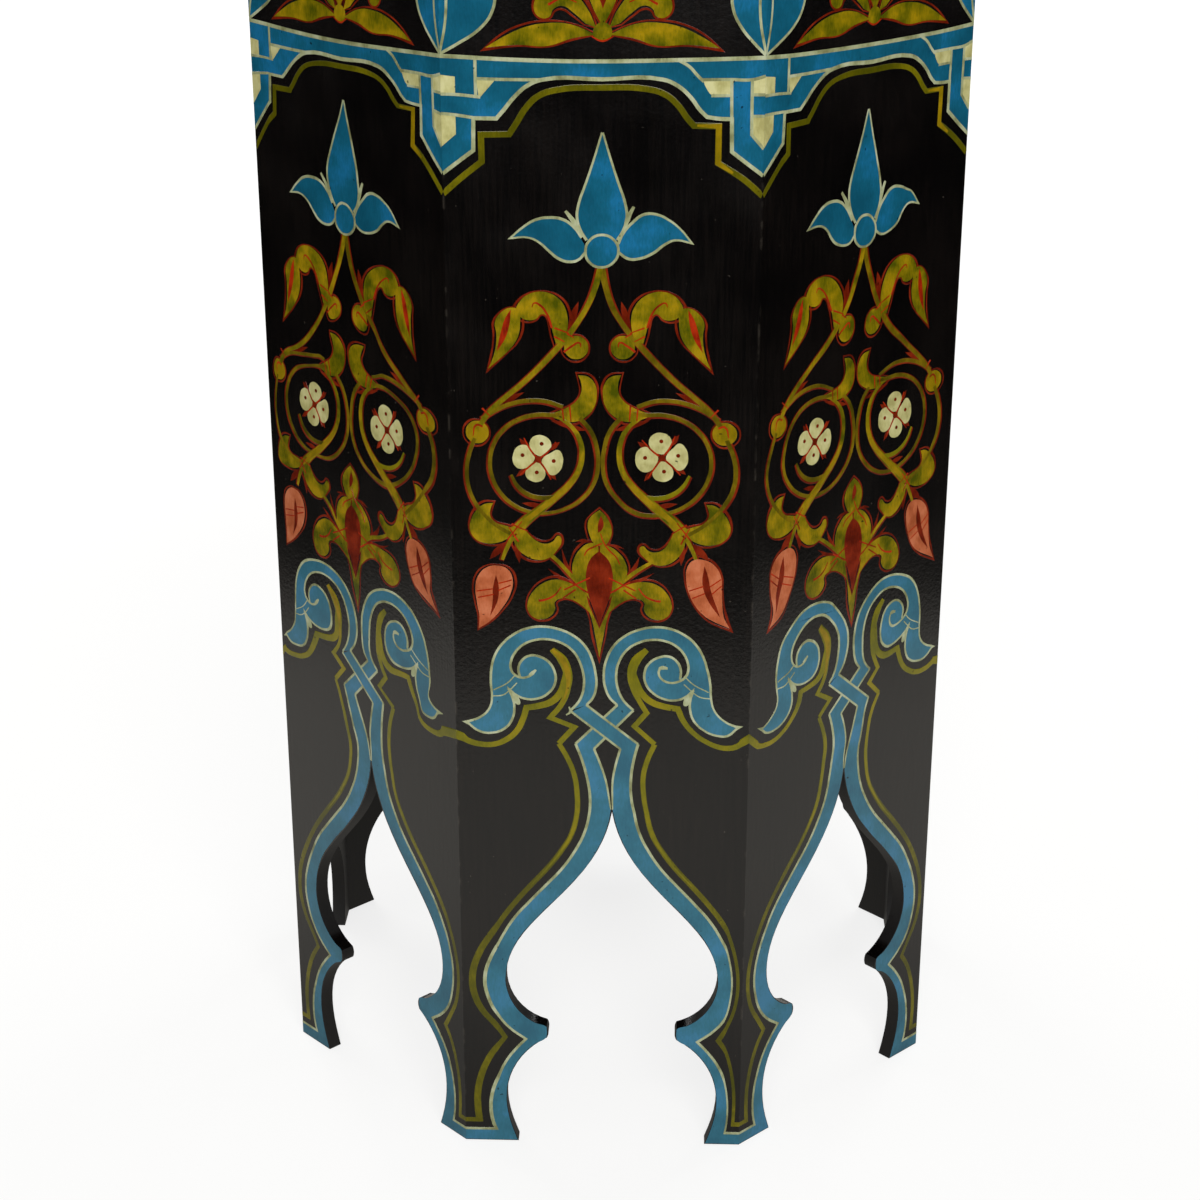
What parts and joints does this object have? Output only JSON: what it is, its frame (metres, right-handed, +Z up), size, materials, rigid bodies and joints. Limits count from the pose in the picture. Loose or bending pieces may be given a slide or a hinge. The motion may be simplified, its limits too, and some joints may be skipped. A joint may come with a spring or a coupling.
{
  "type": "octagonal side table",
  "caption": "Tall octagonal side table of black lacquered wood with painted arabesques, ogee arches cut between its legs and a moulded plank top.",
  "frame": {"origin": "on the floor under the middle of the table", "axes": "+Z up, -Y towards the front panel, +X to the right"},
  "size_m": [0.4022, 0.4022, 0.7],
  "materials": {
    "black_lacquer": "black lacquer over wood, satin, with brush marks and worn edges",
    "stained_wood": "softwood with a dark stain, unpolished",
    "nail_steel": "plain drawn steel",
    "blue_paint": "brushed blue paint",
    "cream_paint": "brushed cream paint",
    "olive_paint": "brushed olive paint",
    "red_paint": "thin brushed red paint",
    "salmon_paint": "brushed salmon paint",
    "white_paint": "brushed off-white paint"
  },
  "bodies": {
    "root": {"batten_nails": "nail_steel", "cleat_nails": "nail_steel", "corner_block_1": "stained_wood", "corner_block_2": "stained_wood", "corner_block_3": "stained_wood", "corner_block_4": "stained_wood", "corner_block_5": "stained_wood", "corner_block_6": "stained_wood", "corner_block_7": "stained_wood", "corner_block_8": "stained_wood", "corner_nails": "nail_steel", "edge_moulding_1": "black_lacquer", "edge_moulding_2": "black_lacquer", "edge_moulding_3": "black_lacquer", "edge_moulding_4": "black_lacquer", "edge_moulding_5": "black_lacquer", "edge_moulding_6": "black_lacquer", "edge_moulding_7": "black_lacquer", "edge_moulding_8": "black_lacquer", "moulding_nails": "nail_steel", "side_panel_1": "black_lacquer", "side_panel_2": "black_lacquer", "side_panel_3": "black_lacquer", "side_panel_4": "black_lacquer", "side_panel_5": "black_lacquer", "side_panel_6": "black_lacquer", "side_panel_7": "black_lacquer", "side_panel_8": "black_lacquer", "top_batten_1": "stained_wood", "top_batten_2": "stained_wood", "top_cleat_1": "stained_wood", "top_cleat_2": "stained_wood", "top_cleat_3": "stained_wood", "top_cleat_4": "stained_wood", "top_cleat_5": "stained_wood", "top_cleat_6": "stained_wood", "top_cleat_7": "stained_wood", "top_cleat_8": "stained_wood", "top_nails": "nail_steel", "top_plank_1": "black_lacquer", "top_plank_2": "black_lacquer", "top_plank_3": "black_lacquer"}
  },
  "joints": []
}
